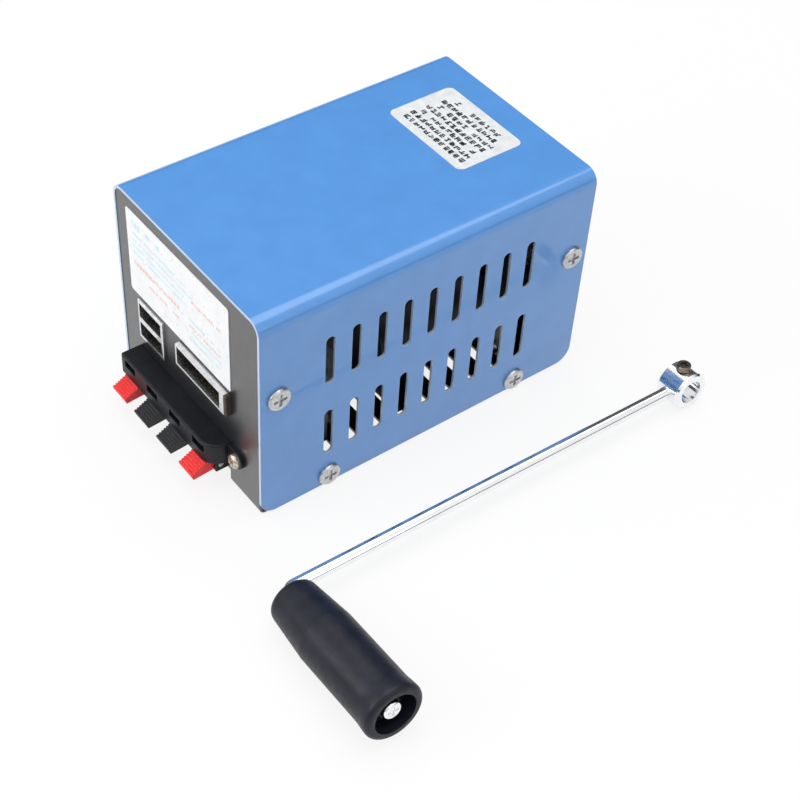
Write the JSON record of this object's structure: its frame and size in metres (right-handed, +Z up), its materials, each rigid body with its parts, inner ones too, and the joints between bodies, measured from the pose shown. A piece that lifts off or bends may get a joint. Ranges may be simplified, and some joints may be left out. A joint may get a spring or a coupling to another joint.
{
  "type": "hand crank phone charger",
  "caption": "Box-shaped hand crank generator with a geared drive shaft, vented folded steel cover, charging sockets, spring terminals and a detached crank with a turning grip.",
  "frame": {"origin": "middle of the underside of the box, where it stands on the table", "axes": "+Z up; the socket panel faces -Y and the drive shaft points along +Y; the detached crank lies on the +X side"},
  "size_m": [0.1773, 0.1835, 0.0837],
  "materials": {
    "blue_paint": "satin powder coat",
    "black_paint": "semi-gloss",
    "screw_steel": "zinc plated",
    "label_front": "satin film",
    "label_top": "satin film",
    "board": "satin",
    "brass_part": "machined",
    "plated_shell": "nickel plated",
    "dark_plastic": "matte",
    "contact_metal": "plated",
    "brown_plastic": "matte",
    "black_plastic": "satin",
    "brass_screw": "plated",
    "plate_steel": "zinc plated",
    "bush_bronze": "sintered",
    "can_steel": "dark plated",
    "magnet": "matte",
    "carbon": "matte",
    "capacitor_sleeve": "gloss",
    "choke_ring": "matte",
    "sink_aluminium": "extruded",
    "header_plastic": "satin",
    "lead_red": "satin",
    "lead_black": "satin",
    "shaft_steel": "ground",
    "gear_plastic": "moulded",
    "gear_brass": "cut",
    "core_iron": "laminated",
    "winding_copper": "enamelled copper",
    "commutator_copper": "turned copper",
    "red_plastic": "satin",
    "black_key": "satin",
    "dark_screw": "blackened",
    "chrome_plate": "bright plated",
    "grip_rubber": "matte"
  },
  "bodies": {
    "housing": {"cover": "blue_paint", "chassis": "black_paint", "cover_screws_right": "screw_steel", "cover_screws_left": "screw_steel", "front_label": "label_front", "top_label": "label_top", "circuit_board": "board", "board_standoffs": "brass_part", "board_screws": "screw_steel", "usb_shell": "plated_shell", "usb_tongues": "dark_plastic", "usb_contacts": "contact_metal", "socket_shell": "plated_shell", "socket_block": "brown_plastic", "socket_tongue": "dark_plastic", "socket_contacts": "contact_metal", "terminal_housing": "black_plastic", "contact_strips": "contact_metal", "lever_pin": "screw_steel", "ear_screw": "brass_screw", "gearbox_rear_plate": "plate_steel", "gearbox_front_plate": "plate_steel", "gearbox_pillars": "plate_steel", "gearbox_screws": "screw_steel", "drive_bearings": "bush_bronze", "layshaft_bushes": "bush_bronze", "generator_can": "can_steel", "magnets": "magnet", "end_bell": "black_plastic", "brushes": "carbon", "rotor_bushes": "bush_bronze", "generator_saddle": "black_plastic", "capacitors": "capacitor_sleeve", "rectifier": "black_plastic", "choke": "choke_ring", "heat_sink": "sink_aluminium", "regulator": "black_plastic", "lead_header": "header_plastic", "lead_positive": "lead_red", "lead_negative": "lead_black"},
    "drive": {"drive_shaft": "shaft_steel", "drive_gear": "gear_plastic"},
    "layshaft_a": {"layshaft_a": "shaft_steel", "gear_cluster_a": "gear_plastic"},
    "layshaft_b": {"layshaft_b": "shaft_steel", "gear_cluster_b": "gear_plastic"},
    "rotor": {"rotor_shaft": "shaft_steel", "rotor_pinion": "gear_brass", "armature_core": "core_iron", "armature_windings": "winding_copper", "commutator": "commutator_copper"},
    "lever_red_left": {"lever_red_left": "red_plastic"},
    "lever_black_left": {"lever_black_left": "black_key"},
    "lever_black_right": {"lever_black_right": "black_key"},
    "lever_red_right": {"lever_red_right": "red_plastic"},
    "crank": {"crank_hub": "chrome_plate", "crank_arm": "chrome_plate", "grip_screw": "chrome_plate"},
    "grip": {"grip": "grip_rubber"},
    "hub_screw": {"hub_screw": "dark_screw"}
  },
  "joints": [
    {"name": "rotor_turn", "type": "hinge", "parent": "housing", "child": "rotor", "pos_m": [0.00933, 0.016, 0.02953], "axis": [0, 1, 0], "continuous": true},
    {"name": "layshaft_b_turn", "type": "hinge", "parent": "housing", "child": "layshaft_b", "pos_m": [0.00093, 0.045, 0.01498], "axis": [0, 1, 0], "continuous": true},
    {"name": "layshaft_a_turn", "type": "hinge", "parent": "housing", "child": "layshaft_a", "pos_m": [-0.018, 0.052, 0.02005], "axis": [0, 1, 0], "continuous": true},
    {"name": "drive_shaft_turn", "type": "hinge", "parent": "housing", "child": "drive", "pos_m": [0, 0.06, 0.0415], "axis": [0, 1, 0], "continuous": true},
    {"name": "lever_red_left_press", "type": "hinge", "parent": "housing", "child": "lever_red_left", "pos_m": [-0.0252, -0.0688, 0.01], "axis": [1, 0, 0], "range_deg": [0, 12], "stiffness_Nm_per_rad": 0.05, "springref_deg": -17.19},
    {"name": "lever_black_left_press", "type": "hinge", "parent": "housing", "child": "lever_black_left", "pos_m": [-0.0112, -0.0688, 0.01], "axis": [1, 0, 0], "range_deg": [0, 12], "stiffness_Nm_per_rad": 0.05, "springref_deg": -17.19},
    {"name": "lever_black_right_press", "type": "hinge", "parent": "housing", "child": "lever_black_right", "pos_m": [0.0028, -0.0688, 0.01], "axis": [1, 0, 0], "range_deg": [0, 12], "stiffness_Nm_per_rad": 0.05, "springref_deg": -17.19},
    {"name": "lever_red_right_press", "type": "hinge", "parent": "housing", "child": "lever_red_right", "pos_m": [0.0168, -0.0688, 0.01], "axis": [1, 0, 0], "range_deg": [0, 12], "stiffness_Nm_per_rad": 0.05, "springref_deg": -17.19},
    {"name": "crank_lift", "type": "slide", "parent": "housing", "child": "crank", "axis": [0, 0, 1], "range_m": [0, 0.12]},
    {"name": "grip_spin", "type": "hinge", "parent": "crank", "child": "grip", "pos_m": [0.10527, -0.08093, 0.01038], "axis": [0.9957, -0.0244, 0.0889], "continuous": true},
    {"name": "hub_screw_turn_out", "type": "slide", "parent": "crank", "child": "hub_screw", "axis": [-0.0889, 0.0032, 0.996], "range_m": [0, 0.0025]}
  ],
  "couplings": [
    {"joint": "layshaft_b_turn", "follows": "rotor_turn", "ratio": -0.33333},
    {"joint": "layshaft_a_turn", "follows": "rotor_turn", "ratio": 0.11111},
    {"joint": "drive_shaft_turn", "follows": "rotor_turn", "ratio": -0.027778}
  ]
}
